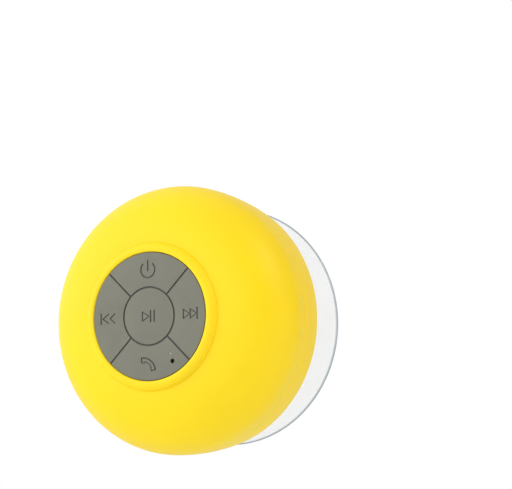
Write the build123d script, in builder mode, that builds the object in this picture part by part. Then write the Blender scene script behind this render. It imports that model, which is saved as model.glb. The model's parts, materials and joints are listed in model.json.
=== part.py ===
from build123d import *
import math
import os

# A round, silicone-covered shower speaker on a clear suction cup.
# Frame, millimetres: the origin is the centre of the cup's sealing lip, +Y points into the wall, the
# key pad faces -Y, +Z is up and +X is to the right as the user sees it.
# A depth is measured from the face of the keys towards the wall.

# ---- Driving dimensions ----
overall_depth = 55.0        # key faces to wall
body_radius = 43.0          # widest point of the dome
widest_depth = 19.0
rear_rim_radius = 41.5      # back edge of the coloured band
body_depth = 35.0           # key faces to back of the body
seam_depth = 22.0           # where the silicone cover ends
pad_radius = 20.2           # key pad opening seen from the front
crease_radius = 23.4        # foot of the raised lip round the pad
crease_depth = 1.8
lip_rise = 0.3              # lip crest in front of the keys
lip_edge_depth = 0.35       # inner edge of the lip
pad_gap = 0.15              # between the keys and the lip
centre_key_line = 9.07      # mid line of the groove round the centre key

skin_wall = 1.5
shell_wall = 2.0
band_wall = 2.4
nest_gap = 0.1              # between shells that nest
seam_gap = 0.3              # flat shell gasket, seen as the seam line
key_gap = 0.5
key_thickness = 1.4
key_travel = 0.5
web_depth = 2.0
web_thickness = 0.8
deck_thickness = 1.5

key_orbit = 14.5            # switch centres from the pad centre
post_radius = 1.6
switch_size = 6.2
switch_height = 2.5
stem_radius = 1.7
stem_height = 1.2
running_gap = 0.07          # radial, for turning and sliding fits
free_gap = 0.3

board_radius = 22.0
board_thickness = 1.6
board_post_orbit = 17.5
board_post_radius = 2.4
board_screw_radius = 0.95
microphone_place = (8.2, -14.35)
status_light_place = (7.44, -12.02)
sound_hole_radius = 0.68
light_pipe_radius = 0.35
capsule_radius = 1.4
capsule_height = 1.6

battery_size = (30.0, 20.0, 5.0)
tape_thickness = 0.5
magnet_radius = 15.0
magnet_thickness = 4.5
pole_radius = 5.7
plate_thickness = 2.0
coil_radius = 6.0
coil_wall = 0.5
cone_radius = 14.4
cone_wall = 0.5
cone_travel = 0.6
driver_radius = 20.5
flange_thickness = 1.2
gasket_thickness = 1.0

rear_plate_thickness = 2.2
slot_count = 16
slot_width = 1.8
slot_inner = 13.0
slot_outer = 17.2
slot_margin = 0.6
boss_foot = 1.5
boss_edge = 0.6
screw_orbit = 32.0
screw_radius = 1.1
screw_head_radius = 2.1
screw_head_height = 1.3
screw_length = 9.7
screw_boss_radius = 3.0

boss_radius = 11.0
boss_end_depth = 40.5
cup_head_radius = 7.2
cup_head_thickness = 3.6
cup_neck_radius = 5.5
cup_rim_radius = 39.3
cup_lip_width = 3.0
cup_shoulder_depth = 45.0
cup_hollow = 7.0
cup_rim_wall = 1.2

port_depth = 28.5           # centre of the charging port
port_cover_length = 12.0
port_cover_width = 6.4
port_cover_wall = 1.0
socket_size = (5.6, 2.6, 7.5)   # inwards, along the depth, along the rim
charging_board_size = (10.0, 12.0)
charge_board_thickness = 1.0
wire_radius = 0.5

# ---- Places that follow from them ----
deck_depth = web_depth + web_thickness
deck_back = deck_depth + deck_thickness
shell_inset = skin_wall + nest_gap
post_end = deck_back + 0.1
switch_front = post_end + 1.0
board_front = switch_front + switch_height
board_back = board_front + board_thickness
battery_front = board_back + 2.6
battery_back = battery_front + battery_size[2]
yoke_front = battery_back + tape_thickness
magnet_front = yoke_front + plate_thickness
top_plate_front = magnet_front + magnet_thickness
top_plate_back = top_plate_front + plate_thickness
rear_plate_front = body_depth - rear_plate_thickness
flange_back = rear_plate_front - gasket_thickness
flange_front = flange_back - flange_thickness
plate_hollow = cone_travel  # room for the cone behind the sound slots
band_front = seam_depth + seam_gap
pocket_radius = cup_head_radius + running_gap
pocket_floor = rear_plate_front + 1.5
head_front = pocket_floor + free_gap
head_back = head_front + cup_head_thickness
pocket_end = head_back + nest_gap
hollow_inner = slot_inner - slot_margin
hollow_outer = slot_outer + slot_margin
key_places = {
    "play": (0.0, 0.0),
    "power": (0.0, key_orbit),
    "next": (key_orbit, 0.0),
    "call": (0.0, -key_orbit),
    "previous": (-key_orbit, 0.0),
}
key_turns = {"next": 0, "power": 90, "previous": 180, "call": 270}

os.makedirs("parts", exist_ok=True)


def at(depth):
    """Plane facing the user at this depth, with X right and Z up."""
    return Plane.XZ.offset(overall_depth - depth)


def save(piece, name):
    """Label a finished piece and write it."""
    piece.part.label = name
    export_step(piece.part, f"parts/{name}.step")


def flat(points):
    """(radius, depth) pairs as sketch points."""
    return [(radius, depth - overall_depth) for radius, depth in points]


def turned(name, profile_points):
    """A piece turned about Y from its (radius, depth) corners."""
    with BuildPart() as piece:
        with BuildSketch(Plane.XY):
            with BuildLine():
                Polyline(*flat(profile_points), close=True)
            make_face()
        revolve(axis=Axis.Y)
    save(piece, name)


def dome_points(inset):
    """Control points of the dome line, moved inwards by the inset, from the pad to the widest point."""
    return [
        (crease_radius, crease_depth + inset),
        (crease_radius + 13.4 - 0.55 * inset, crease_depth + 0.6 + inset),
        (body_radius - inset, widest_depth - 6.7 + 0.3 * inset),
        (body_radius - inset, widest_depth),
    ]


def band_radius(depth):
    """Outside radius behind the widest point, where the side draws in gently."""
    share = (depth - widest_depth) / (body_depth - widest_depth)
    return body_radius - (body_radius - rear_rim_radius) * share**2


def side_line(inset, start, end):
    """Outside line behind the widest point, from one depth to another, moved in by the inset."""
    middle = (start + end) / 2
    points = [(band_radius(depth) - inset, depth) for depth in (start, middle, end)]
    ThreePointArc(*flat(points))


# ---- Silicone cover with its raised lip ----
lip_crest_radius = (pad_radius + crease_radius) / 2
with BuildPart() as silicone_cover:
    with BuildSketch(Plane.XY):
        with BuildLine():
            inner_corner = (pad_radius, web_depth)
            Polyline(*flat([inner_corner, (pad_radius, lip_edge_depth)]))
            lip = [(pad_radius, lip_edge_depth), (lip_crest_radius, -lip_rise), (crease_radius, crease_depth)]
            ThreePointArc(*flat(lip))
            Bezier(*flat(dome_points(0)))
            side_line(0, widest_depth, seam_depth)
            skin_inside = band_radius(seam_depth) - skin_wall
            skin_ends = [(band_radius(seam_depth), seam_depth), (skin_inside, seam_depth)]
            Polyline(*flat(skin_ends + [(body_radius - skin_wall, widest_depth)]))
            Bezier(*flat(dome_points(skin_wall)[::-1]))
            foot = crease_depth + skin_wall
            Polyline(*flat([(crease_radius, foot), (crease_radius, deck_depth - nest_gap), inner_corner]))
        make_face()
    revolve(axis=Axis.Y)
save(silicone_cover, "silicone_cover")


# ---- Keys: a cap, a post and, behind it, the switch stem it works ----
def key_cap(turn):
    """Outline of an outer key: a quarter ring with straight sides parallel to the dividing lines."""
    outer = pad_radius - pad_gap
    inner = centre_key_line + key_gap / 2
    tip = key_gap / math.sqrt(2)
    reach = 2 * outer
    Circle(outer)
    Circle(inner, mode=Mode.SUBTRACT)
    wedge = [(tip, 0), (tip + reach, -reach), (tip + reach, reach)]
    Polygon(*wedge, rotation=turn, align=None, mode=Mode.INTERSECT)


for name, place in key_places.items():
    with BuildPart() as key:
        with BuildSketch(at(0)):
            if name == "play":
                Circle(centre_key_line - key_gap / 2)
            else:
                key_cap(key_turns[name])
        extrude(amount=-key_thickness)
        fillet(key.faces().sort_by(Axis.Y)[0].edges(), radius=0.15)
        with BuildSketch(at(key_thickness)):
            with Locations(place):
                Circle(post_radius)
        extrude(amount=key_thickness - post_end)
        if name == "call":
            with BuildSketch(at(0)):
                with Locations(microphone_place):
                    Circle(sound_hole_radius)
                with Locations(status_light_place):
                    Circle(light_pipe_radius + running_gap)
            extrude(amount=-key_thickness, mode=Mode.SUBTRACT)
    save(key, f"key_{name}")
    with BuildPart() as stem:
        with BuildSketch(at(post_end)):
            with Locations(place):
                Circle(stem_radius)
        extrude(amount=-stem_height)
    save(stem, f"switch_stem_{name}")
    with BuildPart() as switch:
        with BuildSketch(at(switch_front)):
            with Locations(place):
                Rectangle(switch_size, switch_size)
        extrude(amount=-switch_height)
        with BuildSketch(at(switch_front)):
            with Locations(place):
                Circle(stem_radius + running_gap)
        extrude(amount=-(post_end + stem_height + key_travel - switch_front + nest_gap), mode=Mode.SUBTRACT)
    save(switch, f"switch_{name}")

# ---- Rubber web that carries the keys ----
with BuildPart() as key_web:
    with BuildSketch(at(web_depth)):
        Circle(pad_radius - nest_gap)
        for place in key_places.values():
            with Locations(place):
                Circle(post_radius + running_gap, mode=Mode.SUBTRACT)
        with Locations(microphone_place):
            Circle(sound_hole_radius, mode=Mode.SUBTRACT)
        with Locations(status_light_place):
            Circle(light_pipe_radius + running_gap, mode=Mode.SUBTRACT)
    extrude(amount=-web_thickness)
save(key_web, "key_web")

# ---- Front shell: deck, dome wall, board posts and screw bosses ----
shell_outer = band_radius(seam_depth) - shell_inset
shell_inner = shell_outer - shell_wall
tongue_radius = band_radius(band_front) - band_wall - nest_gap
tongue_end = band_front + 2.0
with BuildPart() as front_shell:
    with BuildSketch(Plane.XY):
        with BuildLine():
            inset = shell_inset + shell_wall
            shoulder = crease_depth + shell_inset
            Polyline(*flat([(0, deck_depth), (crease_radius, deck_depth), (crease_radius, shoulder)]))
            Bezier(*flat(dome_points(shell_inset)))
            rear_corners = [
                (body_radius - shell_inset, widest_depth),
                (shell_outer, seam_depth),
                (tongue_radius, seam_depth),
                (tongue_radius, tongue_end),
                (shell_inner, tongue_end),
                (shell_inner, seam_depth),
                (body_radius - inset, widest_depth),
            ]
            Polyline(*flat(rear_corners))
            Bezier(*flat(dome_points(inset)[::-1]))
            ceiling = crease_depth + inset
            Polyline(*flat([(crease_radius, ceiling), (0, ceiling), (0, deck_depth)]))
        make_face()
    revolve(axis=Axis.Y)
    with BuildSketch(at(deck_back)):
        Circle(pad_radius)
    extrude(amount=-(crease_depth + inset - deck_back), mode=Mode.SUBTRACT)
    with BuildSketch(at(deck_back - nest_gap)):
        with PolarLocations(board_post_orbit, 4, start_angle=45):
            Circle(board_post_radius)
    extrude(amount=-(board_front - deck_back + nest_gap))
    with BuildSketch(at(board_front)):
        with PolarLocations(board_post_orbit, 4, start_angle=45):
            Circle(board_screw_radius + running_gap)
    extrude(amount=3.0, mode=Mode.SUBTRACT)
    boss_start = 9.0
    with BuildSketch(at(boss_start)):
        with PolarLocations(screw_orbit, 4, start_angle=45):
            Circle(screw_boss_radius)
    extrude(amount=-(rear_plate_front - boss_start))
    with BuildSketch(at(rear_plate_front)):
        with PolarLocations(screw_orbit, 4, start_angle=45):
            Circle(screw_radius + running_gap)
    extrude(amount=screw_length + free_gap, mode=Mode.SUBTRACT)
    with BuildSketch(at(deck_depth)):
        for place in key_places.values():
            with Locations(place):
                Circle(post_radius + free_gap)
        with Locations(microphone_place):
            Circle(sound_hole_radius)
        with Locations(status_light_place):
            Circle(light_pipe_radius + running_gap)
    extrude(amount=-deck_thickness, mode=Mode.SUBTRACT)
save(front_shell, "front_shell")

# ---- Flat shell gasket, whose edge is the seam line ----
turned("shell_gasket", [
    (tongue_radius + nest_gap, seam_depth),
    (shell_outer, seam_depth),
    (shell_outer, band_front),
    (tongue_radius + nest_gap, band_front),
])

# ---- Coloured rear band with the charging port recess ----
charging_board_front = port_depth + socket_size[1] / 2
socket_outer = -(band_radius(port_depth) - port_cover_wall - 0.7)
charging_board_middle = socket_outer + 1.6 + charging_board_size[0] / 2
ledge_front = rear_plate_front - 1.9
plate_radius = rear_rim_radius - band_wall + 0.3
seal_thickness = 0.4


def port_block(grow):
    """Room of the port cover: a box through the band on the -X side."""
    plane = Plane.YZ.offset(-body_radius - 2)
    with BuildPart(mode=Mode.PRIVATE) as block:
        with BuildSketch(plane):
            with Locations((port_depth - overall_depth, 0)):
                RectangleRounded(port_cover_width + 2 * grow, port_cover_length + 2 * grow, 1.2 + grow)
        extrude(amount=body_radius)
    return block.part


def band_layer(outer_inset, inner_inset):
    """A layer of the band between two insets from its outside."""
    with BuildPart(mode=Mode.PRIVATE) as layer:
        with BuildSketch(Plane.XY):
            with BuildLine():
                side_line(outer_inset, band_front, body_depth)
                Polyline(*flat([(band_radius(body_depth) - outer_inset, body_depth),
                                (band_radius(body_depth) - inner_inset, body_depth)]))
                side_line(inner_inset, body_depth, band_front)
                Polyline(*flat([(band_radius(band_front) - inner_inset, band_front),
                                (band_radius(band_front) - outer_inset, band_front)]))
            make_face()
        revolve(axis=Axis.Y)
    return layer.part


with BuildPart() as rear_band:
    with BuildSketch(Plane.XY):
        with BuildLine():
            side_line(0, band_front, body_depth - 0.8)
            rim = band_radius(body_depth - 0.8)
            rounding = [(rim, body_depth - 0.8), (rim - 0.25, body_depth - 0.22), (rim - 0.8, body_depth)]
            ThreePointArc(*flat(rounding))
            band_inside = tongue_radius + nest_gap
            inside = [
                (rim - 0.8, body_depth),
                (plate_radius + nest_gap, body_depth),
                (plate_radius + nest_gap, rear_plate_front - seal_thickness),
                (plate_radius - 2.0, rear_plate_front - seal_thickness),
                (plate_radius - 2.0, ledge_front),
                (band_inside - 1.2, ledge_front - 1.5),
                (band_inside, tongue_end + free_gap),
                (band_inside, band_front),
                (band_radius(band_front), band_front),
            ]
            Polyline(*flat(inside))
        make_face()
    revolve(axis=Axis.Y)
    add(band_layer(-1.0, port_cover_wall + nest_gap) & port_block(nest_gap), mode=Mode.SUBTRACT)
    with BuildSketch(Plane.YZ.offset(-body_radius)):
        with Locations((port_depth - overall_depth, 0)):
            Rectangle(socket_size[1] + 2 * nest_gap, socket_size[2] + 2 * nest_gap)
    extrude(amount=6.0, mode=Mode.SUBTRACT)
    with BuildSketch(at(charging_board_front - nest_gap)):
        with Locations((charging_board_middle, 0)):
            Rectangle(*[side + 4 * nest_gap for side in charging_board_size])
    extrude(amount=-(charge_board_thickness + 2 * nest_gap), mode=Mode.SUBTRACT)
save(rear_band, "rear_band")

turned("plate_seal", [
    (plate_radius - 2.0, rear_plate_front - seal_thickness),
    (plate_radius, rear_plate_front - seal_thickness),
    (plate_radius, rear_plate_front),
    (plate_radius - 2.0, rear_plate_front),
])

# ---- Rear plate: sound slots, screw holes and the cup's boss ----
with BuildPart() as rear_plate:
    with BuildSketch(Plane.XY):
        with BuildLine():
            section = [
                (0, rear_plate_front),
                (hollow_inner, rear_plate_front),
                (hollow_inner, rear_plate_front + plate_hollow),
                (hollow_outer, rear_plate_front + plate_hollow),
                (hollow_outer, rear_plate_front),
                (plate_radius, rear_plate_front),
                (plate_radius, body_depth),
                (boss_radius + boss_foot, body_depth),
                (boss_radius, body_depth + boss_foot),
                (boss_radius, boss_end_depth - boss_edge),
                (boss_radius - boss_edge, boss_end_depth),
                (cup_neck_radius + running_gap, boss_end_depth),
                (cup_neck_radius + running_gap, pocket_end),
                (pocket_radius, pocket_end),
                (pocket_radius, pocket_floor),
                (0, pocket_floor),
            ]
            Polyline(*flat(section), close=True)
        make_face()
    revolve(axis=Axis.Y)
    with BuildSketch(at(rear_plate_front)):
        with PolarLocations((slot_inner + slot_outer) / 2, slot_count):
            SlotOverall(slot_outer - slot_inner, slot_width)
    extrude(amount=-rear_plate_thickness, mode=Mode.SUBTRACT)
    with Locations(at(body_depth).rotated((180, 0, 0))):
        with PolarLocations(screw_orbit, 4, start_angle=45):
            CounterBoreHole(screw_radius + nest_gap, screw_head_radius + nest_gap, screw_head_height)
save(rear_plate, "rear_plate")


def screws(name, orbit, head_front, head_back, tip, shank_radius, head_radius):
    """Four screws on a circle, heads towards the wall."""
    with BuildPart() as group:
        with BuildSketch(at(head_back)):
            with PolarLocations(orbit, 4, start_angle=45):
                Circle(head_radius)
                RegularPolygon(head_radius * 0.45, 6, mode=Mode.SUBTRACT)
        extrude(amount=head_back - head_front - 0.5)
        with BuildSketch(at(head_front + 0.5)):
            with PolarLocations(orbit, 4, start_angle=45):
                Circle(head_radius)
        extrude(amount=0.5)
        with BuildSketch(at(head_front)):
            with PolarLocations(orbit, 4, start_angle=45):
                Circle(shank_radius)
        extrude(amount=head_front - tip)
    save(group, name)


screw_seat = body_depth - screw_head_height
screws("shell_screws", screw_orbit, screw_seat, body_depth, screw_seat - screw_length, screw_radius,
       screw_head_radius)
screws("board_screws", board_post_orbit, board_back, board_back + 1.3, board_front - 2.5,
       board_screw_radius, 1.9)

# ---- Suction cup: mushroom head, neck and dish ----
with BuildPart() as suction_cup:
    with BuildSketch(Plane.XY):
        with BuildLine():
            Polyline(*flat([
                (0, head_front), (cup_head_radius, head_front), (cup_head_radius, head_back),
                (cup_neck_radius, head_back), (cup_neck_radius, cup_shoulder_depth - 2.0),
            ]))
            Bezier(*flat([
                (cup_neck_radius, cup_shoulder_depth - 2.0), (cup_neck_radius + 3.0, cup_shoulder_depth + 0.5),
                (24.0, cup_shoulder_depth + 0.5), (cup_rim_radius, overall_depth - cup_rim_wall),
            ]))
            Polyline(*flat([
                (cup_rim_radius, overall_depth - cup_rim_wall), (cup_rim_radius, overall_depth),
                (cup_rim_radius - cup_lip_width, overall_depth),
            ]))
            Bezier(*flat([
                (cup_rim_radius - cup_lip_width, overall_depth), (24.0, overall_depth - cup_hollow + 1.5),
                (12.0, overall_depth - cup_hollow), (0, overall_depth - cup_hollow),
            ]))
            Polyline(*flat([(0, overall_depth - cup_hollow), (0, head_front)]))
        make_face()
    revolve(axis=Axis.Y)
save(suction_cup, "suction_cup")

# ---- Circuit board and what is soldered to it ----
with BuildPart() as main_board:
    with BuildSketch(at(board_front)):
        Circle(board_radius)
        with PolarLocations(board_post_orbit, 4, start_angle=45):
            Circle(board_screw_radius + nest_gap, mode=Mode.SUBTRACT)
    extrude(amount=-board_thickness)
save(main_board, "main_board")


def blocks(name, front, height, places, size):
    """Rectangular parts of one kind standing on a face."""
    with BuildPart() as group:
        with BuildSketch(at(front)):
            with Locations(*places):
                Rectangle(*size)
        extrude(amount=-height)
    save(group, name)


def studs(name, front, height, places, radius, bore=0.0):
    """Round parts of one kind standing on a face."""
    with BuildPart() as group:
        with BuildSketch(at(front)):
            with Locations(*places):
                Circle(radius)
                if bore:
                    Circle(bore, mode=Mode.SUBTRACT)
        extrude(amount=-height)
    save(group, name)


blocks("radio_module", board_back, 0.8, [(-7.0, 3.0)], (12.0, 10.0))
blocks("radio_shield", board_back + 0.8, 1.4, [(-7.0, 3.0)], (10.4, 8.4))
blocks("amplifier_chip", board_back, 0.9, [(6.0, 3.0)], (5.0, 4.0))
blocks("charger_chip", board_back, 0.9, [(6.0, -4.0)], (3.0, 3.0))
studs("capacitors", board_back, 3.6, [(-3.5, 15.0), (3.5, 15.0)], 2.0)
studs("microphone", board_front - capsule_height, capsule_height, [microphone_place], capsule_radius)
studs("microphone_boot", deck_back, board_front - capsule_height - deck_back, [microphone_place],
      capsule_radius, sound_hole_radius)
blocks("status_light", board_front - 0.7, 0.7, [status_light_place], (1.6, 0.8))
with BuildPart() as light_pipe:
    with BuildSketch(at(0.1)):
        with Locations(status_light_place):
            Circle(light_pipe_radius)
    extrude(amount=-(board_front - 0.8))
    with BuildSketch(at(deck_back)):
        with Locations(status_light_place):
            Circle(light_pipe_radius + 0.4)
    extrude(amount=-0.6)
save(light_pipe, "light_pipe")

# ---- Battery on its foam tape ----
blocks("battery", battery_front, battery_size[2], [(0, 0)], battery_size[:2])
blocks("battery_tape", battery_back, tape_thickness, [(0, 0)], (24.0, 16.0))

# ---- Loudspeaker, facing the wall ----
turned("driver_yoke", [
    (0, yoke_front), (magnet_radius - 1.0, yoke_front), (magnet_radius - 1.0, magnet_front),
    (pole_radius, magnet_front), (pole_radius, top_plate_back), (0, top_plate_back),
])
turned("driver_magnet", [
    (pole_radius + 2.3, magnet_front), (magnet_radius, magnet_front),
    (magnet_radius, top_plate_front), (pole_radius + 2.3, top_plate_front),
])
turned("driver_top_plate", [
    (coil_radius + coil_wall + 0.4, top_plate_front), (magnet_radius - 1.0, top_plate_front),
    (magnet_radius - 1.0, top_plate_back), (coil_radius + coil_wall + 0.4, top_plate_back),
])
coil_end = top_plate_back + 2.4
turned("voice_coil", [
    (coil_radius, top_plate_front - 0.8), (coil_radius + coil_wall, top_plate_front - 0.8),
    (coil_radius + coil_wall, coil_end), (coil_radius, coil_end),
])
cone_edge = flange_back
turned("driver_cone", [
    (coil_radius, coil_end), (coil_radius + 1.4, coil_end), (cone_radius, cone_edge - 0.4),
    (cone_radius, cone_edge), (coil_radius + 1.0, coil_end + cone_wall), (coil_radius, coil_end + cone_wall),
])
cap_edge = coil_end + cone_wall
cap_rim = coil_radius + 0.9
turned("dust_cap", [
    (cap_rim, cap_edge), (cap_rim - 1.4, cap_edge + 0.9), (cap_rim - 3.6, cap_edge + 1.6),
    (0, cap_edge + 2.0),
    (0, cap_edge + 1.6), (cap_rim - 3.9, cap_edge + 1.2), (cap_rim - 1.9, cap_edge + 0.6),
    (coil_radius, cap_edge),
])
frame_inner = hollow_outer
turned("driver_frame", [
    (10.0, top_plate_back), (13.0, top_plate_back), (frame_inner + 0.6, flange_front),
    (driver_radius, flange_front), (driver_radius, flange_back), (cone_radius + 1.8, flange_back),
    (cone_radius + 1.8, flange_front + 0.6), (12.2, top_plate_back + 0.8), (10.0, top_plate_back + 0.8),
])
roll_land = cone_radius + 1.8
with BuildPart() as driver_surround:
    with BuildSketch(Plane.XY):
        with BuildLine():
            land = flange_back + 0.3
            Polyline(*flat([(frame_inner - 0.1, flange_back), (frame_inner - 0.1, land), (roll_land, land)]))
            roll_middle = (roll_land + cone_radius - 0.2) / 2
            ThreePointArc(*flat([(roll_land, land), (roll_middle, land + 0.5), (cone_radius - 0.2, land)]))
            foot = [(cone_radius - 0.2, land), (cone_radius - 0.2, flange_back)]
            Polyline(*flat(foot + [(frame_inner - 0.1, flange_back)]))
        make_face()
    revolve(axis=Axis.Y)
save(driver_surround, "driver_surround")
spider_inner = coil_radius + coil_wall + running_gap
turned("driver_spider", [
    (spider_inner, top_plate_back + 1.2), (8.4, top_plate_back + 1.5), (9.4, top_plate_back + 0.9),
    (10.4, top_plate_back + 0.8), (11.6, top_plate_back + 0.8), (11.6, top_plate_back + 1.1),
    (10.4, top_plate_back + 1.1), (9.4, top_plate_back + 1.3), (8.4, top_plate_back + 1.8),
    (spider_inner, top_plate_back + 1.5),
])
turned("driver_gasket", [
    (frame_inner, flange_back), (driver_radius, flange_back),
    (driver_radius, rear_plate_front), (frame_inner, rear_plate_front),
])

# ---- Charging board, socket and its sealing cover ----
socket_middle = socket_outer + socket_size[0] / 2
with BuildPart() as charging_socket:
    with BuildSketch(at(port_depth - socket_size[1] / 2)):
        with Locations((socket_middle, 0)):
            Rectangle(socket_size[0], socket_size[2])
    extrude(amount=-socket_size[1])
    with BuildSketch(Plane.YZ.offset(socket_outer)):
        with Locations((port_depth - overall_depth, 0)):
            Rectangle(socket_size[1] - 0.6, socket_size[2] - 0.6)
    extrude(amount=4.8, mode=Mode.SUBTRACT)
save(charging_socket, "charging_socket")
with BuildPart() as socket_tongue:
    with BuildSketch(Plane.YZ.offset(socket_outer + 2.2)):
        with Locations((port_depth - overall_depth, 0)):
            Rectangle(0.6, 3.6)
    extrude(amount=2.6)
save(socket_tongue, "socket_tongue")
charging_board_back = charging_board_front + charge_board_thickness
blocks("charging_board", charging_board_front, charge_board_thickness, [(charging_board_middle, 0)],
       charging_board_size)
studs("charging_board_pads", charging_board_back, rear_plate_front - charging_board_back,
      [(charging_board_middle + 2.0, 3.5), (charging_board_middle + 2.0, -3.5)], 1.5)
plug_depth = 1.6
with BuildPart() as port_cover:
    add(band_layer(0, port_cover_wall) & port_block(0))
    with BuildSketch(Plane.YZ.offset(-band_radius(port_depth) + 0.6)):
        with Locations((port_depth - overall_depth, 0)):
            Rectangle(socket_size[1] - 1.0, socket_size[2] - 1.8)
    extrude(amount=0.8 + plug_depth)
save(port_cover, "port_cover")


# ---- Wires ----
def wire_pair(name, points, gap, radius):
    """Two insulated wires side by side, straight runs joined by arcs."""
    with BuildPart() as pair:
        for side in (-1, 1):
            with BuildLine() as route:
                FilletPolyline(*[(x + side * gap, y - overall_depth, z) for x, y, z in points], radius=1.4)
            with BuildSketch(Plane(origin=route.wires()[0] @ 0, z_dir=route.wires()[0] % 0)):
                Circle(radius)
            sweep(path=route.wires()[0])
    save(pair, name)


wire_pair("battery_wires", [(0, battery_front + 2.5, battery_size[1] / 2), (0, battery_front + 2.5, 12.5),
                            (0, board_back, 12.5)], 0.7, wire_radius)
wire_pair("speaker_wires", [(0, board_back, -19.0), (0, flange_front - 2.0, -19.0),
                            (0, flange_front - 2.0, -16.7)], 0.7, wire_radius)
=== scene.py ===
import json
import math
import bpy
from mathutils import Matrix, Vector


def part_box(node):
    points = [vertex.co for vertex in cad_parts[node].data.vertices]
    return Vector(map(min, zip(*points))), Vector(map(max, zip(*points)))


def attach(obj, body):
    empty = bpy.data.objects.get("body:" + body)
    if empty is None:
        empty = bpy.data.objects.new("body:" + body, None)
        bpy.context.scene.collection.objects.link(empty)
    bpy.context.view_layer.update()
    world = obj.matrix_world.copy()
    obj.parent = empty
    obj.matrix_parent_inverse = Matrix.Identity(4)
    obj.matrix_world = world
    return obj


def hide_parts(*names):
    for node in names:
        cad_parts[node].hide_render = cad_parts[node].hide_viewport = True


bl_info = {
    "name": "Shower speaker",
    "version": (1, 0, 0),
    "blender": (4, 5, 0),
    "location": "3D View > Sidebar > Speaker",
    "description": "Builds the visible pieces and finishes of a shower speaker round its CAD frame",
    "category": "Object",
}

import bmesh
import bpy
from mathutils import Matrix, Vector
from mathutils.geometry import interpolate_bezier

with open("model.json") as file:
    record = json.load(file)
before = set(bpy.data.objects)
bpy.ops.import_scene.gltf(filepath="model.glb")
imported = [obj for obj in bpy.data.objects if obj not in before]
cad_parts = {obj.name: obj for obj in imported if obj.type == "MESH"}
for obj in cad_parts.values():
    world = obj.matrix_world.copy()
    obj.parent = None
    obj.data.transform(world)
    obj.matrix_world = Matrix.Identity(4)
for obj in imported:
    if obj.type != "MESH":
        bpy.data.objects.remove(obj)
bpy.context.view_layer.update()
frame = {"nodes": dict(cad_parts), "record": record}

MM = 0.001
KEYS = ("play", "power", "next", "call", "previous")
KEY_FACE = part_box("key_play")[0].y
PAD_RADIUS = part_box("key_next")[1].x
WEB_FRONT, WEB_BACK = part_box("key_web")[0].y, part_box("key_web")[1].y
WEB_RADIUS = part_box("key_web")[1].x
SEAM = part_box("silicone_cover")[1].y
BODY_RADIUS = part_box("silicone_cover")[1].x
BAND_FRONT, BAND_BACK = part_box("rear_band")[0].y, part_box("rear_band")[1].y
PLATE_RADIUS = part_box("rear_plate")[1].x
CUP_FRONT, CUP_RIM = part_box("suction_cup")[0].y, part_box("suction_cup")[1].x


def length(label, note, value):
    """A size in metres that can be changed in the sidebar."""
    return bpy.props.FloatProperty(name=label, description=note, default=value, unit="LENGTH", precision=5)


def colour(label, note, value):
    """A colour that can be changed in the sidebar."""
    return bpy.props.FloatVectorProperty(
        name=label, description=note, default=value, subtype="COLOR", size=4, min=0.0, max=1.0
    )


class SpeakerSizes(bpy.types.PropertyGroup):
    """Sizes of the pieces modelled here; what fits the frame is read from the frame."""

    crease_radius: length("Crease radius", "Foot of the raised lip round the keys", 23.4 * MM)
    crease_depth: length("Crease depth", "How far the lip's foot lies behind the keys", 1.8 * MM)
    lip_rise: length("Lip rise", "How far the lip stands in front of the keys", 0.28 * MM)
    widest_depth: length("Widest depth", "Where the dome is widest, behind the keys", 19.0 * MM)
    skin_wall: length("Skin wall", "Thickness of the silicone cover", 1.5 * MM)
    rear_rim_radius: length("Rear rim radius", "Back edge of the coloured band", 41.5 * MM)
    centre_line: length("Centre key groove", "Middle radius of the groove round the centre key", 9.07 * MM)
    key_gap: length("Key gap", "Width of the grooves between keys", 0.5 * MM)
    key_thickness: length("Key thickness", "Height of a key cap", 1.4 * MM)
    key_edge: length("Key edge", "Rounding of a key's edges", 0.12 * MM)
    sign_width: length("Sign stroke", "Width of the engraved strokes", 0.5 * MM)
    sign_depth: length("Sign depth", "Depth of the engraved strokes", 0.28 * MM)
    groove_floor: length("Groove floor", "Depth of the rubber that shows between keys", 0.4 * MM)
    cup_wall: length("Cup wall", "Thickness of the cup at its rim", 1.2 * MM)
    cup_lip: length("Cup lip", "Width of the cup's sealing lip", 3.0 * MM)
    cup_hollow: length("Cup hollow", "Depth of the cup's hollow", 7.0 * MM)


class SpeakerColours(bpy.types.PropertyGroup):
    """Colours of the finishes."""

    silicone: colour("Silicone", "Cover of the dome", (0.96, 0.67, 0.003, 1.0))
    keypad: colour("Keypad", "Grey rubber of the keys", (0.180, 0.169, 0.134, 1.0))
    # Painted shade: the dark colour the keypad rubber takes in its grooves and engraved signs.
    groove: colour("Groove", "Shade inside grooves and signs", (0.10, 0.08, 0.078, 1.0))
    # Partly a real seal, partly painted highlight: its pale colour stands in for the light that the seam's
    # edge catches.
    seam_seal_and_highlight: colour("Bead", "Thin seal that shows as the seam line", (0.93, 0.80, 0.16, 1.0))
    cup: colour("Cup", "Clear soft plastic", (0.86, 0.87, 0.89, 1.0))
    # Partly the plastic's own tint, partly painted shade standing in for light bent through the thick rim.
    cup_edge: colour("Cup edge", "Tint of the cup's rim", (0.30, 0.36, 0.45, 1.0))


# ---- Shader maths ----
class Value:
    """A shader socket that takes part in sums."""

    def __init__(self, shader, socket):
        self.shader = shader
        self.socket = socket

    def sum(self, operation, first, second):
        return self.shader.node("ShaderNodeMath", {"operation": operation}, {0: first, 1: second})

    def __add__(self, other):
        return self.sum("ADD", self, other)

    def __radd__(self, other):
        return self.sum("ADD", other, self)

    def __sub__(self, other):
        return self.sum("SUBTRACT", self, other)

    def __rsub__(self, other):
        return self.sum("SUBTRACT", other, self)

    def __mul__(self, other):
        return self.sum("MULTIPLY", self, other)

    def __rmul__(self, other):
        return self.sum("MULTIPLY", other, self)


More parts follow.
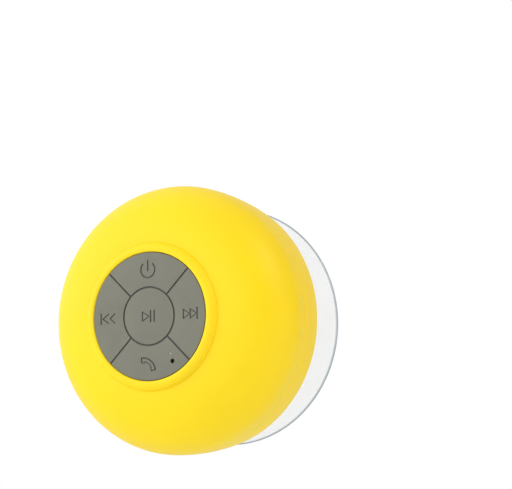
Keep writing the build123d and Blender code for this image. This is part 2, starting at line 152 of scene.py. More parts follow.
class Finish:
    """A material under construction."""

    def __init__(self, name):
        self.material = bpy.data.materials.new(name)
        self.material.use_nodes = True
        self.tree = self.material.node_tree
        self.surface = self.tree.nodes["Principled BSDF"]
        self.place = self.node("ShaderNodeTexCoord", outlet="Object")

    def node(self, kind, settings=None, inputs=None, outlet=0):
        """Any node: its settings first, then the numbers or links of its sockets."""
        made = self.tree.nodes.new(kind)
        for key, setting in (settings or {}).items():
            setattr(made, key, setting)
        for key, value in (inputs or {}).items():
            self.feed(made.inputs[key], value)
        return Value(self, made.outputs[outlet])

    def feed(self, socket, value):
        if isinstance(value, Value):
            self.tree.links.new(value.socket, socket)
        else:
            socket.default_value = value

    def set(self, **values):
        """Sets or links the surface's sockets, written with underscores for spaces."""
        for key, value in values.items():
            self.feed(self.surface.inputs[key.replace("_", " ")], value)

    def noise(self, scale, detail=3.0, roughness=0.5):
        inputs = {"Vector": self.place, "Scale": scale, "Detail": detail, "Roughness": roughness}
        return self.node("ShaderNodeTexNoise", None, inputs)

    def step(self, value, low, high):
        """0 below low, 1 above high, smooth between."""
        inputs = {"Value": value, "From Min": low, "From Max": high}
        return self.node("ShaderNodeMapRange", {"interpolation_type": "SMOOTHSTEP"}, inputs)

    def mix(self, factor, first, second):
        """Colour between first and second."""
        return self.node("ShaderNodeMix", {"data_type": "RGBA"}, {0: factor, 6: first, 7: second}, 2)

    def axes(self):
        """The piece's own X, Y and Z."""
        split = self.tree.nodes.new("ShaderNodeSeparateXYZ")
        self.feed(split.inputs[0], self.place)
        return [Value(self, outlet) for outlet in split.outputs]

    def radius(self):
        """Distance from the speaker's axis."""
        x, _, z = self.axes()
        return self.node("ShaderNodeMath", {"operation": "SQRT"}, {0: x * x + z * z})

    def bump(self, height, distance, strength=0.5):
        inputs = {"Height": height, "Distance": distance, "Strength": strength}
        self.set(Normal=self.node("ShaderNodeBump", None, inputs))


def shade(tint, factor):
    """The colour made lighter or darker."""
    return [min(1.0, part * factor) for part in tint[:3]] + [1.0]


def silicone_finish(name, tint):
    """Soft matte silicone: faint mottling, a fine grain and a few paler dust specks."""
    finish = Finish(name)
    mottle = finish.step(finish.noise(45.0), 0.3, 0.7)
    base = finish.mix(mottle, shade(tint, 0.985), shade(tint, 1.01))
    dust = finish.step(finish.noise(1400.0, 2.0, 0.7), 0.74, 0.78)
    finish.set(Base_Color=finish.mix(dust * 0.35, base, (0.9, 0.88, 0.6, 1.0)))
    grain = finish.noise(2600.0, 2.0)
    finish.set(Roughness=0.4 + 0.04 * mottle + 0.08 * grain, IOR=1.5, Specular_IOR_Level=0.3)
    finish.bump(grain, 0.00004, 0.35)
    return finish.material


def keypad_finish(tint, groove):
    """Grey rubber with a fine grain, darker below the key faces: painted shade in the grooves between keys
    and inside the engraved signs.
    """
    finish = Finish("keypad_rubber")
    _, y, _ = finish.axes()
    # Painted shade: rubber deeper than the key faces, in the gaps between keys and inside the engraved signs,
    # takes the dark groove colour.
    below = finish.step(y, KEY_FACE + 0.06 * MM, KEY_FACE + 0.24 * MM)
    mottle = finish.step(finish.noise(160.0), 0.3, 0.7)
    face = finish.mix(mottle, shade(tint, 0.95), shade(tint, 1.05))
    specks = finish.step(finish.noise(3500.0, 1.0), 0.68, 0.74)
    face = finish.mix(specks * 0.25, face, shade(tint, 1.5))
    finish.set(Base_Color=finish.mix(below, face, list(groove)))
    finish.set(Roughness=0.56 + 0.12 * mottle)
    finish.bump(finish.noise(3000.0, 2.0), 0.00004, 0.35)
    return finish.material


def cup_finish(tint, edge):
    """Clear soft plastic: milky where seen flat, blue-grey in the thick rim, with fine flow lines. The rim's
    blue-grey is partly the plastic's own tint and partly painted shade for the dark edge that light bent
    through the thick rim gives.
    """
    finish = Finish("clear_cup")
    # Partly painted shade: the rim takes a darker blue-grey that stands in for light bent through the thick
    # clear edge, on top of the plastic's own tint.
    rim = finish.step(finish.radius(), CUP_RIM - 0.75 * MM, CUP_RIM - 0.15 * MM)
    cloud = finish.step(finish.noise(60.0), 0.35, 0.65)
    clear = finish.mix(cloud, shade(tint, 0.97), shade(tint, 1.02))
    finish.set(Base_Color=finish.mix(rim, clear, list(edge)))
    finish.set(Alpha=0.16 + 0.6 * rim, Roughness=0.16 + 0.08 * cloud, IOR=1.45)
    finish.bump(finish.noise(700.0, 2.0), 0.00003, 0.25)
    return finish.material


def moulded_finish(name, tint, rough, metal=0.0, grain=1800.0):
    """Plain moulded, cast or plated finish: slight tone variation, grain and uneven gloss."""
    finish = Finish(name)
    tone = finish.step(finish.noise(70.0), 0.2, 0.8)
    fine = finish.noise(grain, 3.0)
    finish.set(Base_Color=finish.mix(tone, shade(tint, 0.97), shade(tint, 1.02)))
    finish.set(Roughness=rough + 0.12 * fine, Metallic=metal)
    finish.bump(fine, 0.00003, 0.3)
    return finish.material


# ---- Modelling helpers ----
def finish_mesh(name, shape, angle=35.0):
    """Turns a bmesh into a piece with outward faces and smooth shading up to the angle."""
    bmesh.ops.remove_doubles(shape, verts=shape.verts, dist=0.002 * MM)
    bmesh.ops.recalc_face_normals(shape, faces=shape.faces)
    mesh = bpy.data.meshes.new(name)
    shape.to_mesh(mesh)
    shape.free()
    piece = bpy.data.objects.new(name, mesh)
    bpy.context.scene.collection.objects.link(piece)
    smooth(piece, angle)
    return piece


def smooth(piece, angle=35.0):
    """Smooth shading, kept sharp across edges steeper than the angle."""
    piece.data.shade_smooth()
    piece.data.set_sharp_from_angle(angle=math.radians(angle))


def turned(name, outline, steps=192, angle=35.0):
    """A closed piece turned about the Y axis from its (radius, y) outline."""
    shape = bmesh.new()
    verts = [shape.verts.new((radius, y, 0.0)) for radius, y in outline]
    edges = [shape.edges.new((verts[i - 1], verts[i])) for i in range(len(verts))]
    bmesh.ops.spin(shape, geom=verts + edges, cent=(0, 0, 0), axis=(0, 1, 0), angle=2 * math.pi,
                   steps=steps, use_merge=True)
    bmesh.ops.dissolve_degenerate(shape, dist=0.001 * MM, edges=shape.edges)
    return finish_mesh(name, shape, angle)


def face_keys(shape, verts):
    """Turns what was drawn flat to face along Y, as the keys do."""
    bmesh.ops.rotate(shape, cent=(0, 0, 0), matrix=Matrix.Rotation(math.pi / 2, 3, "X"), verts=verts)


def curve(points, count=24):
    """Points along a cubic curve through four (radius, y) control points, without the last."""
    knots = [Vector((radius, y, 0.0)) for radius, y in points]
    line = interpolate_bezier(*knots, count)
    return [(point.x, point.y) for point in line[:-1]]


def arc(middle, radii, start, end, count=10):
    """Points of an elliptic arc in degrees, from start to end, both included."""
    turns = [math.radians(start + (end - start) * i / count) for i in range(count + 1)]
    return [(middle[0] + radii[0] * math.cos(t), middle[1] + radii[1] * math.sin(t)) for t in turns]


def bake(piece):
    """Applies the piece's modifiers."""
    view = bpy.context.evaluated_depsgraph_get()
    mesh = bpy.data.meshes.new_from_object(piece.evaluated_get(view))
    piece.modifiers.clear()
    piece.data = mesh


def carve(piece, cutter):
    """Cuts the cutter, whose own shapes may overlap, out of the piece."""
    modifier = piece.modifiers.new("carve", "BOOLEAN")
    modifier.operation = "DIFFERENCE"
    modifier.solver = "EXACT"
    modifier.use_self = True
    modifier.object = cutter
    bpy.context.view_layer.update()
    bake(piece)
    bpy.data.objects.remove(cutter)


def band_radius(sizes, y):
    """Outside radius of the body behind its widest point."""
    widest = KEY_FACE + sizes.widest_depth
    share = (y - widest) / (BAND_BACK - widest)
    return BODY_RADIUS - (BODY_RADIUS - sizes.rear_rim_radius) * share**2


def side(sizes, inset, start, end, count=10):
    """Points down the side of the body from one y to another."""
    steps = [start + (end - start) * i / count for i in range(count + 1)]
    return [(band_radius(sizes, y) - inset, y) for y in steps]


def dome(sizes, inset):
    """Control points of the dome line, moved inwards by the inset."""
    foot = KEY_FACE + sizes.crease_depth
    widest = KEY_FACE + sizes.widest_depth
    return [
        (sizes.crease_radius, foot + inset),
        (sizes.crease_radius + 13.4 * MM - 0.55 * inset, foot + 0.6 * MM + inset),
        (BODY_RADIUS - inset, widest - 6.7 * MM + 0.3 * inset),
        (BODY_RADIUS - inset, widest),
    ]


# ---- Operators ----
class SPEAKER_OT_cover(bpy.types.Operator):
    """Makes the silicone cover with its raised lip and the crease round it"""

    bl_idname = "speaker.cover"
    bl_label = "Silicone cover"

    def execute(self, context):
        sizes, colours = context.scene.speaker_sizes, context.scene.speaker_colours
        inner = WEB_RADIUS + 0.1 * MM
        widest = KEY_FACE + sizes.widest_depth
        base = KEY_FACE + sizes.crease_depth
        crest = KEY_FACE - sizes.lip_rise
        lip = curve([(inner, KEY_FACE + 0.3 * MM), (inner + 0.15 * MM, crest - 0.25 * MM),
                     (sizes.crease_radius - 0.6 * MM, crest - 0.35 * MM), (sizes.crease_radius, base)], 24)
        foot = base + sizes.skin_wall
        seam_round = 0.25 * MM
        outline = [(inner, WEB_FRONT)] + lip
        outline += curve(dome(sizes, 0.0), 48)
        outline += side(sizes, 0.0, widest, SEAM - seam_round, 4)
        rim = band_radius(sizes, SEAM)
        outline += [(rim - 0.07 * MM, SEAM - 0.07 * MM), (rim - seam_round, SEAM)]
        outline += [(rim - sizes.skin_wall, SEAM)]
        outline += curve(dome(sizes, sizes.skin_wall)[::-1], 32)
        outline += [(sizes.crease_radius, foot), (sizes.crease_radius, WEB_BACK)]
        outline += [(inner, WEB_FRONT + 0.2 * MM)]
        cover = turned("cover_skin", outline, 224)
        cover.data.materials.append(silicone_finish("soft_silicone", colours.silicone))
        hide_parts("silicone_cover")
        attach(cover, "housing")
        return {"FINISHED"}


class SPEAKER_OT_band(bpy.types.Operator):
    """Makes the rear band with the recess and opening of the charging port"""

    bl_idname = "speaker.band"
    bl_label = "Rear band"

    def execute(self, context):
        sizes = context.scene.speaker_sizes
        rim_round = 0.8 * MM
        front_round = 0.2 * MM
        inside = PLATE_RADIUS + 0.1 * MM
        front = band_radius(sizes, BAND_FRONT)
        outline = [(front - front_round, BAND_FRONT), (front - 0.05 * MM, BAND_FRONT + 0.05 * MM)]
        outline += side(sizes, 0.0, BAND_FRONT + front_round, BAND_BACK - rim_round, 12)
        rim = band_radius(sizes, BAND_BACK - rim_round)
        outline += arc((rim - rim_round, BAND_BACK - rim_round), (rim_round, rim_round), 15, 90, 6)
        ledge = inside - 2 * MM
        back_wall = front - 2.5 * MM
        outline += [(inside, BAND_BACK), (inside, BAND_BACK - 2.2 * MM), (ledge, BAND_BACK - 2.6 * MM)]
        outline += [(ledge, BAND_BACK - 4 * MM), (back_wall, BAND_BACK - 8 * MM), (back_wall, BAND_FRONT)]
        band = turned("band_skin", outline, 224)
        low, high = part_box("port_cover")
        room = 0.1 * MM
        middle = ((low.y + high.y) / 2, (low.z + high.z) / 2)
        recess = (high.y - low.y + 2 * room, high.z - low.z + 2 * room)
        self.cut(band, -BODY_RADIUS - 3 * MM, low.x + 1.54 * MM, middle, recess)
        low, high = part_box("charging_socket")
        opening = (high.y - low.y + 2 * room, high.z - low.z + 2 * room)
        self.cut(band, -BODY_RADIUS, low.x + 4 * MM, middle, opening)
        smooth(band)
        band.data.materials.append(bpy.data.materials["soft_silicone"])
        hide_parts("rear_band")
        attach(band, "housing")
        # The seam seal ring is a real seal, and its pale colour is a painted highlight along the seam, where
        # the edge catches light.
        edge = front - 0.06 * MM
        corners = [(back_wall, SEAM), (edge, SEAM), (edge, BAND_FRONT), (back_wall, BAND_FRONT)]
        seam_seal_and_highlight = turned("seam_bead", corners, 224)
        tint = context.scene.speaker_colours.seam_seal_and_highlight
        seam_seal_and_highlight.data.materials.append(moulded_finish("bead_rubber", tint, 0.5))
        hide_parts("shell_gasket")
        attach(seam_seal_and_highlight, "housing")
        return {"FINISHED"}

    def cut(self, band, start, end, middle, size):
        shape = bmesh.new()
        bmesh.ops.create_cube(shape, size=1.0)
        bmesh.ops.scale(shape, vec=(end - start, size[0], size[1]), verts=shape.verts)
        bmesh.ops.translate(shape, vec=((start + end) / 2, middle[0], middle[1]), verts=shape.verts)
        upright = [e for e in shape.edges if abs(e.verts[0].co.x - e.verts[1].co.x) > 0.5 * (end - start)]
        bmesh.ops.bevel(shape, geom=upright, offset=1.2 * MM, offset_type="OFFSET", affect="EDGES",
                        segments=6, profile=0.5, material=-1)
        carve(band, finish_mesh("cutter", shape))


class SPEAKER_OT_keys(bpy.types.Operator):
    """Makes the five keys with their engraved signs, and the rubber between them"""

    bl_idname = "speaker.keys"
    bl_label = "Keys"

    directions = {"next": 0, "power": 90, "previous": 180, "call": 270}

    def execute(self, context):
        sizes, colours = context.scene.speaker_sizes, context.scene.speaker_colours
        rubber = keypad_finish(colours.keypad, colours.groove)
        for name in KEYS:
            key = self.cap(name, sizes)
            signs = self.signs(name, sizes)
            carve(key, signs)
            smooth(key, 30.0)
            key.data.materials.append(rubber)
            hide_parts(f"key_{name}")
            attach(key, f"key_{name}")
        web = self.web(sizes)
        web.data.materials.append(rubber)
        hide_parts("key_web")
        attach(web, "housing")
        return {"FINISHED"}

    def cap(self, name, sizes):
        """A key cap: a disc, or a quarter of a ring with sides parallel to the dividing lines."""
        shape = bmesh.new()
        half = sizes.key_gap / 2
        if name == "play":
            bmesh.ops.create_circle(shape, cap_ends=True, segments=128, radius=sizes.centre_line - half)
            face_keys(shape, shape.verts)
            bmesh.ops.translate(shape, vec=(0, KEY_FACE, 0), verts=shape.verts)
        else:
            radii = (sizes.centre_line + half, PAD_RADIUS)
            ends = [shape.verts.new((radius, KEY_FACE, 0.0)) for radius in radii]
            edge = shape.edges.new(ends)
            bmesh.ops.spin(shape, geom=ends + [edge], cent=(0, 0, 0), axis=(0, 1, 0), angle=2 * math.pi,
                           steps=192, use_merge=True)
            slope = math.sin(math.radians(45))
            for turn in (-slope, slope):
                away = Vector((slope, 0, turn))
                outward = Vector((-away.x, 0, away.z))
                bmesh.ops.bisect_plane(shape, geom=shape.verts[:] + shape.edges[:] + shape.faces[:],
                                       dist=0.0001 * MM, plane_co=-outward * half, plane_no=outward,
                                       clear_outer=True)
            around = Matrix.Rotation(-math.radians(self.directions[name]), 3, "Y")
            bmesh.ops.rotate(shape, cent=(0, 0, 0), matrix=around, verts=shape.verts)
            bmesh.ops.dissolve_limit(shape, angle_limit=math.radians(0.1), verts=shape.verts,
                                     edges=shape.edges)
        sides = bmesh.ops.extrude_face_region(shape, geom=shape.faces[:])["geom"]
        moved = [part for part in sides if isinstance(part, bmesh.types.BMVert)]
        bmesh.ops.translate(shape, vec=(0, sizes.key_thickness, 0), verts=moved)
        bmesh.ops.recalc_face_normals(shape, faces=shape.faces)
        rim = [edge for edge in shape.edges if max(v.co.y for v in edge.verts) < KEY_FACE + 0.001 * MM
               and len(edge.link_faces) == 2 and edge.calc_face_angle() > 1.0]
        bmesh.ops.bevel(shape, geom=rim, offset=sizes.key_edge, offset_type="OFFSET", affect="EDGES",
                        segments=3, profile=0.5, material=-1)
        return finish_mesh(f"pad_{name}", shape, 30.0)

    def signs(self, name, sizes):
        """All strokes of a key's sign, as one cutter that reaches just in front of the face."""
        shape = bmesh.new()
        draw = {"play": self.play_sign, "power": self.power_sign, "next": self.next_sign,
                "call": self.call_sign, "previous": self.previous_sign}
        draw[name](shape, sizes)
        return finish_mesh("cutter", shape)

    def stroke(self, shape, sizes, start, end, width=1.0):
        """A straight stroke between two (x, z) points in millimetres."""
        start, end = Vector(start) * MM, Vector(end) * MM
        along = end - start
        made = bmesh.ops.create_cube(shape, size=1.0)["verts"]
        size = (along.length + sizes.sign_width * width * 0.5, 2 * sizes.sign_depth, sizes.sign_width * width)
        bmesh.ops.scale(shape, vec=size, verts=made)
        turn = Matrix.Rotation(-math.atan2(along.y, along.x), 3, "Y")
        bmesh.ops.rotate(shape, cent=(0, 0, 0), matrix=turn, verts=made)
        middle = (start + end) / 2
        bmesh.ops.translate(shape, vec=(middle.x, KEY_FACE, middle.y), verts=made)

    def bow(self, shape, sizes, middle, radius, start, end, width=1.0):
        """A round stroke about an (x, z) point, from one angle to another in degrees."""
        half = sizes.sign_width * width / 2
        corners = [(radius * MM + across * half, KEY_FACE + push * sizes.sign_depth, 0.0)
                   for across, push in ((-1, -1), (1, -1), (1, 1), (-1, 1))]
        older = set(shape.verts)
        verts = [shape.verts.new(corner) for corner in corners]
        cap = shape.faces.new(verts)
        first = Matrix.Rotation(-math.radians(start), 3, "Y")
        bmesh.ops.rotate(shape, cent=(0, 0, 0), matrix=first, verts=verts)
        copy = bmesh.ops.duplicate(shape, geom=[cap])["geom"]
        seed = [part for part in copy if isinstance(part, bmesh.types.BMFace)]
        steps = max(4, int(abs(end - start) / 8))
        bmesh.ops.spin(shape, geom=seed, cent=(0, 0, 0), axis=(0, 1, 0), angle=-math.radians(end - start),
                       steps=steps, use_merge=False)
        fresh = [vert for vert in shape.verts if vert not in older]
        bmesh.ops.translate(shape, vec=(middle[0] * MM, 0, middle[1] * MM), verts=fresh)

    def play_sign(self, shape, sizes):
        corners = [(-2.3, 1.45), (0.1, 0.0), (-2.3, -1.45)]
        for i, corner in enumerate(corners):
            self.stroke(shape, sizes, corners[i - 1], corner, 0.9 if i == 0 else 0.6)
        for x in (0.65, 1.95):
            self.stroke(shape, sizes, (x, -1.75), (x, 1.75))

    def power_sign(self, shape, sizes):
        self.stroke(shape, sizes, (-0.1, 14.3), (-0.1, 17.5))
        self.bow(shape, sizes, (-0.1, 14.6), 2.5, 132, 408)

    def previous_sign(self, shape, sizes):
        self.stroke(shape, sizes, (-17.4, -1.7), (-17.4, 1.7))
        for tip, top in ((-16.75, -14.65), (-14.1, -12.35)):
            self.stroke(shape, sizes, (tip, 0), (top, 1.45), 0.8)
            self.stroke(shape, sizes, (tip, 0), (top, -1.45), 0.8)

    def next_sign(self, shape, sizes):
        for base, tip in ((12.4, 14.6), (14.85, 17.05)):
            corners = [(base, 1.45), (tip, 0.0), (base, -1.45)]
            for i, corner in enumerate(corners):
                self.stroke(shape, sizes, corners[i - 1], corner, 0.9 if i == 0 else 0.6)
        self.stroke(shape, sizes, (17.3, -1.75), (17.3, 1.75))

    def call_sign(self, shape, sizes):
        middle = (-2.3, -17.4)
        self.bow(shape, sizes, middle, 4.45, 8, 98)
        self.bow(shape, sizes, middle, 3.3, 26, 78, 0.6)
        for turn in (8, 98):
            out = Vector((math.cos(math.radians(turn)), math.sin(math.radians(turn))))
            self.stroke(shape, sizes, Vector(middle) + out * 2.9, Vector(middle) + out * 4.45, 0.9)
        for turn in (26, 78):
            out = Vector((math.cos(math.radians(turn)), math.sin(math.radians(turn))))
            self.stroke(shape, sizes, Vector(middle) + out * 2.9, Vector(middle) + out * 3.3, 0.6)
        for start, end in ((8, 26), (78, 98)):
            self.bow(shape, sizes, middle, 2.9, start, end, 0.6)
        for node, radius in (("microphone", 0.74 * MM), ("light_pipe", 0.42 * MM)):
            low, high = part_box(node)
            made = bmesh.ops.create_cone(shape, cap_ends=True, segments=32, radius1=radius, radius2=radius,
                                         depth=6 * MM)["verts"]
            face_keys(shape, made)
            place = ((low.x + high.x) / 2, KEY_FACE, (low.z + high.z) / 2)
            bmesh.ops.translate(shape, vec=place, verts=made)

    def web(self, sizes):
        """The rubber plate behind the keys, with the low ribs that show between them."""
        shape = bmesh.new()
        rib = sizes.key_gap - 0.12 * MM
        floor = KEY_FACE + sizes.groove_floor
        outline = [(sizes.centre_line - rib / 2, floor), (sizes.centre_line + rib / 2, floor)]
        outline += [(sizes.centre_line + rib / 2, WEB_FRONT), (sizes.centre_line - rib / 2, WEB_FRONT)]
        verts = [shape.verts.new((radius, y, 0.0)) for radius, y in outline]
        edges = [shape.edges.new((verts[i - 1], verts[i])) for i in range(4)]
        bmesh.ops.spin(shape, geom=verts + edges, cent=(0, 0, 0), axis=(0, 1, 0), angle=2 * math.pi,
                       steps=128, use_merge=True)
        start = sizes.centre_line + rib / 2
        for quarter in range(4):
            made = bmesh.ops.create_cube(shape, size=1.0)["verts"]
            size = (PAD_RADIUS - start, WEB_FRONT - floor, rib)
            bmesh.ops.scale(shape, vec=size, verts=made)
            bmesh.ops.translate(shape, vec=((PAD_RADIUS + start) / 2, (WEB_FRONT + floor) / 2, 0), verts=made)
            turn = Matrix.Rotation(math.radians(45 + 90 * quarter), 3, "Y")
            bmesh.ops.rotate(shape, cent=(0, 0, 0), matrix=turn, verts=made)
        plate = bmesh.ops.create_circle(shape, cap_ends=True, segments=128, radius=WEB_RADIUS)["verts"]
        face_keys(shape, plate)
        bmesh.ops.translate(shape, vec=(0, WEB_FRONT, 0), verts=plate)
        faces = list({face for vert in plate for face in vert.link_faces})
        grown = bmesh.ops.extrude_face_region(shape, geom=faces)["geom"]
        moved = [part for part in grown if isinstance(part, bmesh.types.BMVert)]
        bmesh.ops.translate(shape, vec=(0, WEB_BACK - WEB_FRONT, 0), verts=moved)
        return finish_mesh("pad_web", shape, 30.0)


class SPEAKER_OT_cup(bpy.types.Operator):
    """Makes the clear suction cup: mushroom head, neck, dish and sealing lip"""

    bl_idname = "speaker.cup"
    bl_label = "Suction cup"

    def execute(self, context):
        sizes, colours = context.scene.speaker_sizes, context.scene.speaker_colours
        head, neck = 7.2 * MM, 5.5 * MM
        shoulder = -10.0 * MM
        head_back = CUP_FRONT + 3.6 * MM
        outline = [(0.0, CUP_FRONT)]
        outline += arc((head - 0.8 * MM, CUP_FRONT + 0.8 * MM), (0.8 * MM, 0.8 * MM), -90, 0, 5)
        outline += [(head, head_back), (neck, head_back), (neck, shoulder - 2 * MM)]
        outer = [(neck, shoulder - 2 * MM), (neck + 3 * MM, shoulder + 0.5 * MM),
                 (24 * MM, shoulder + 0.5 * MM), (CUP_RIM - 0.15 * MM, -sizes.cup_wall)]
        outline += curve(outer, 40)[1:]
        outline += arc((CUP_RIM - 0.4 * MM, -0.5 * MM), (0.4 * MM, 0.5 * MM), -60, 90, 8)
        outline += [(CUP_RIM - sizes.cup_lip, 0.0)]
        inner = [(CUP_RIM - sizes.cup_lip, 0.0), (24 * MM, -sizes.cup_hollow + 1.5 * MM),
                 (12 * MM, -sizes.cup_hollow), (0.0, -sizes.cup_hollow)]
        outline += curve(inner, 32)[1:] + [(0.0, -sizes.cup_hollow)]
        cup = turned("cup_body", outline, 192, 40.0)
        cup.data.materials.append(cup_finish(colours.cup, colours.cup_edge))
        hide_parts("suction_cup")
        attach(cup, "cup")
        return {"FINISHED"}


class SPEAKER_OT_finishes(bpy.types.Operator):
    """Gives every piece that stays as the frame has it its own finish"""

    bl_idname = "speaker.finishes"
    bl_label = "Finishes"

    recipes = {
        "inner_shell": ((0.62, 0.62, 0.60), 0.45, 0.0),
        "rear_plate": ((0.66, 0.66, 0.64), 0.42, 0.0),
        "seal": ((0.90, 0.82, 0.35), 0.6, 0.0),
        "screw": ((0.55, 0.55, 0.56), 0.3, 1.0),
        "board": ((0.01, 0.10, 0.035), 0.3, 0.0),
        "tin": ((0.7, 0.7, 0.7), 0.28, 1.0),
        "chip": ((0.02, 0.02, 0.022), 0.45, 0.0),
        "capacitor": ((0.05, 0.07, 0.25), 0.3, 0.0),
        "lamp": ((0.36, 0.38, 0.35), 0.3, 0.0),
        "cell": ((0.55, 0.57, 0.6), 0.32, 0.6),
        "steel": ((0.5, 0.5, 0.5), 0.35, 1.0),
        "magnet": ((0.05, 0.05, 0.055), 0.6, 0.0),
        "frame": ((0.03, 0.03, 0.03), 0.5, 0.0),
        "coil": ((0.6, 0.25, 0.1), 0.35, 1.0),
        "cone": ((0.03, 0.03, 0.032), 0.55, 0.0),
        "spider": ((0.45, 0.3, 0.1), 0.8, 0.0),
        "wire": ((0.45, 0.02, 0.02), 0.4, 0.0),
    }

    def execute(self, context):
        finishes = {name: moulded_finish(f"finish_{name}", tint, rough, metal)
                    for name, (tint, rough, metal) in self.recipes.items()}
        finishes["silicone"] = bpy.data.materials["soft_silicone"]
        finishes["band"] = bpy.data.materials["soft_silicone"]
        finishes["keypad"] = bpy.data.materials["keypad_rubber"]
        finishes["cup"] = bpy.data.materials["clear_cup"]
        for part in frame["record"]["subparts"]:
            node = frame["nodes"][part["node"]]
            finish = finishes[part["material_slot"]]
            node.data.materials.clear()
            node.data.materials.append(finish)
        return {"FINISHED"}


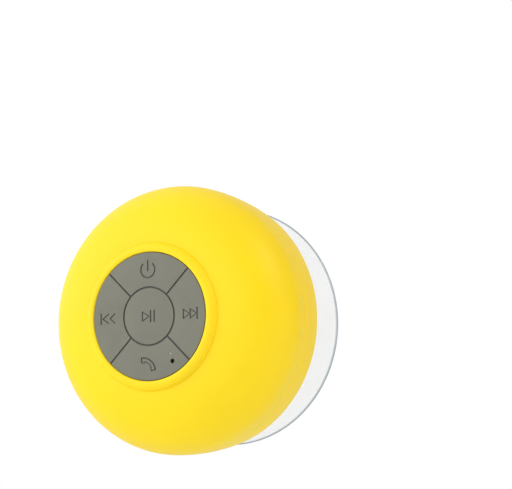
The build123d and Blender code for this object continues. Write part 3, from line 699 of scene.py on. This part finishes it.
class SPEAKER_OT_stage(bpy.types.Operator):
    """Makes the pale floor, the soft studio light and the camera"""

    bl_idname = "speaker.stage"
    bl_label = "Stage"

    azimuth, elevation, roll = 29.4, -4.8, -1.05
    distance = 0.7
    lens = 152.7
    yaw, pitch = -1.785, 2.025
    sensor = 36.0
    target = Vector((0.0, -0.03, 0.0))
    floor_level, floor_size = -0.16, 3.0
    bright_side = (-0.88, -0.42, 0.2)

    def execute(self, context):
        self.floor()
        self.lights()
        self.world(context.scene)
        self.camera(context.scene)
        context.scene.view_settings.view_transform = "Standard"
        return {"FINISHED"}

    def seen_white(self, tree, shader):
        """White to the camera, in reflections and through clear plastic; the given shader elsewhere."""
        nodes, links = tree.nodes, tree.links
        rays = nodes.new("ShaderNodeLightPath")
        seen = rays.outputs["Is Camera Ray"]
        for kind in ("Is Transmission Ray", "Is Glossy Ray"):
            either = nodes.new("ShaderNodeMath")
            either.operation = "MAXIMUM"
            links.new(seen, either.inputs[0])
            links.new(rays.outputs[kind], either.inputs[1])
            seen = either.outputs[0]
        white = nodes.new("ShaderNodeBackground")
        white.inputs["Color"].default_value = (1, 1, 1, 1)
        white.inputs["Strength"].default_value = 1.0
        mix = nodes.new("ShaderNodeMixShader")
        links.new(seen, mix.inputs[0])
        links.new(shader.outputs[0], mix.inputs[1])
        links.new(white.outputs[0], mix.inputs[2])
        return mix

    def floor(self):
        shape = bmesh.new()
        bmesh.ops.create_grid(shape, x_segments=1, y_segments=1, size=self.floor_size)
        bmesh.ops.translate(shape, vec=(0, 0, self.floor_level), verts=shape.verts)
        floor = finish_mesh("floor", shape)
        finish = Finish("pale_floor")
        finish.set(Base_Color=finish.mix(finish.noise(3.0), (0.93, 0.93, 0.93, 1), (0.97, 0.97, 0.97, 1)))
        finish.set(Roughness=0.8)
        floor.data.materials.append(finish.material)

    def lamp(self, name, power, size, place, tint=(1, 1, 1)):
        data = bpy.data.lights.new(name, "AREA")
        data.shape = "DISK"
        data.energy, data.size, data.color = power, size, tint
        lamp = bpy.data.objects.new(name, data)
        bpy.context.scene.collection.objects.link(lamp)
        lamp.location = place
        lamp.rotation_euler = (self.target - Vector(place)).to_track_quat("-Z", "Y").to_euler()

    def lights(self):
        self.lamp("key", 3.68, 1.0, (-0.9, -0.8, 0.35), tint=(0.9, 1.0, 1.0))
        self.lamp("front", 1.38, 0.8, (0.1, -1.2, 0.2))
        self.lamp("fill", 4.14, 0.6, (0.9, -0.1, 0.7), tint=(1.0, 0.93, 0.8))
        self.lamp("low", 1.1, 0.6, (0.8, 0.0, -0.12), tint=(1.0, 0.9, 0.7))

    def world(self, scene):
        world = bpy.data.worlds.new("studio")
        world.use_nodes = True
        scene.world = world
        tree = world.node_tree
        ambient = tree.nodes["Background"]
        ambient.inputs["Color"].default_value = (0.93, 1.0, 0.98, 1)
        place = tree.nodes.new("ShaderNodeTexCoord")
        facing = tree.nodes.new("ShaderNodeVectorMath")
        facing.operation = "DOT_PRODUCT"
        facing.inputs[1].default_value = self.bright_side
        tree.links.new(place.outputs["Generated"], facing.inputs[0])
        level = tree.nodes.new("ShaderNodeMapRange")
        level.interpolation_type = "SMOOTHSTEP"
        for name, value in (("From Min", -0.35), ("From Max", 0.45), ("To Min", 0.14), ("To Max", 1.2)):
            level.inputs[name].default_value = value
        tree.links.new(facing.outputs["Value"], level.inputs["Value"])
        tree.links.new(level.outputs[0], ambient.inputs["Strength"])
        mix = self.seen_white(tree, ambient)
        tree.links.new(mix.outputs[0], tree.nodes["World Output"].inputs["Surface"])

    def camera(self, scene):
        data = bpy.data.cameras.new("camera")
        data.sensor_width = self.sensor
        data.lens = self.lens
        data.clip_start = 0.01
        camera = bpy.data.objects.new("camera", data)
        scene.collection.objects.link(camera)
        scene.camera = camera
        a, e, w, yaw, pitch = (
            math.radians(v) for v in (self.azimuth, self.elevation, self.roll, self.yaw, self.pitch)
        )
        back = Vector((math.sin(a) * math.cos(e), -math.cos(a) * math.cos(e), math.sin(e)))
        right = Vector((math.cos(a), math.sin(a), 0.0))
        up = back.cross(right)
        right, up = right * math.cos(w) + up * math.sin(w), up * math.cos(w) - right * math.sin(w)
        camera.location = self.target + back * self.distance
        look = Matrix((right, up, back)).transposed()
        turn = Matrix.Rotation(yaw, 3, "Y") @ Matrix.Rotation(pitch, 3, "X")
        camera.matrix_world = Matrix.Translation(camera.location) @ (look @ turn).to_4x4()


class SPEAKER_PT_sidebar(bpy.types.Panel):
    """Lists the sizes, the colours and the steps that build the speaker"""

    bl_idname = "SPEAKER_PT_sidebar"
    bl_label = "Shower speaker"
    bl_space_type = "VIEW_3D"
    bl_region_type = "UI"
    bl_category = "Speaker"

    def draw(self, context):
        for group in (context.scene.speaker_sizes, context.scene.speaker_colours):
            column = self.layout.column()
            for name in type(group).__annotations__:
                column.prop(group, name)
        for step in STEPS:
            self.layout.operator(step.bl_idname)


STEPS = (SPEAKER_OT_stage, SPEAKER_OT_cover, SPEAKER_OT_band, SPEAKER_OT_keys, SPEAKER_OT_cup,
         SPEAKER_OT_finishes)
CLASSES = (SpeakerSizes, SpeakerColours) + STEPS + (SPEAKER_PT_sidebar,)


def register():
    for entry in CLASSES:
        bpy.utils.register_class(entry)
    bpy.types.Scene.speaker_sizes = bpy.props.PointerProperty(type=SpeakerSizes)
    bpy.types.Scene.speaker_colours = bpy.props.PointerProperty(type=SpeakerColours)


def unregister():
    del bpy.types.Scene.speaker_colours
    del bpy.types.Scene.speaker_sizes
    for entry in reversed(CLASSES):
        bpy.utils.unregister_class(entry)


def main():
    register()
    bpy.ops.speaker.stage()
    bpy.ops.speaker.cover()
    bpy.ops.speaker.band()
    bpy.ops.speaker.keys()
    bpy.ops.speaker.cup()
    bpy.ops.speaker.finishes()


if __name__ == "__main__":
    main()
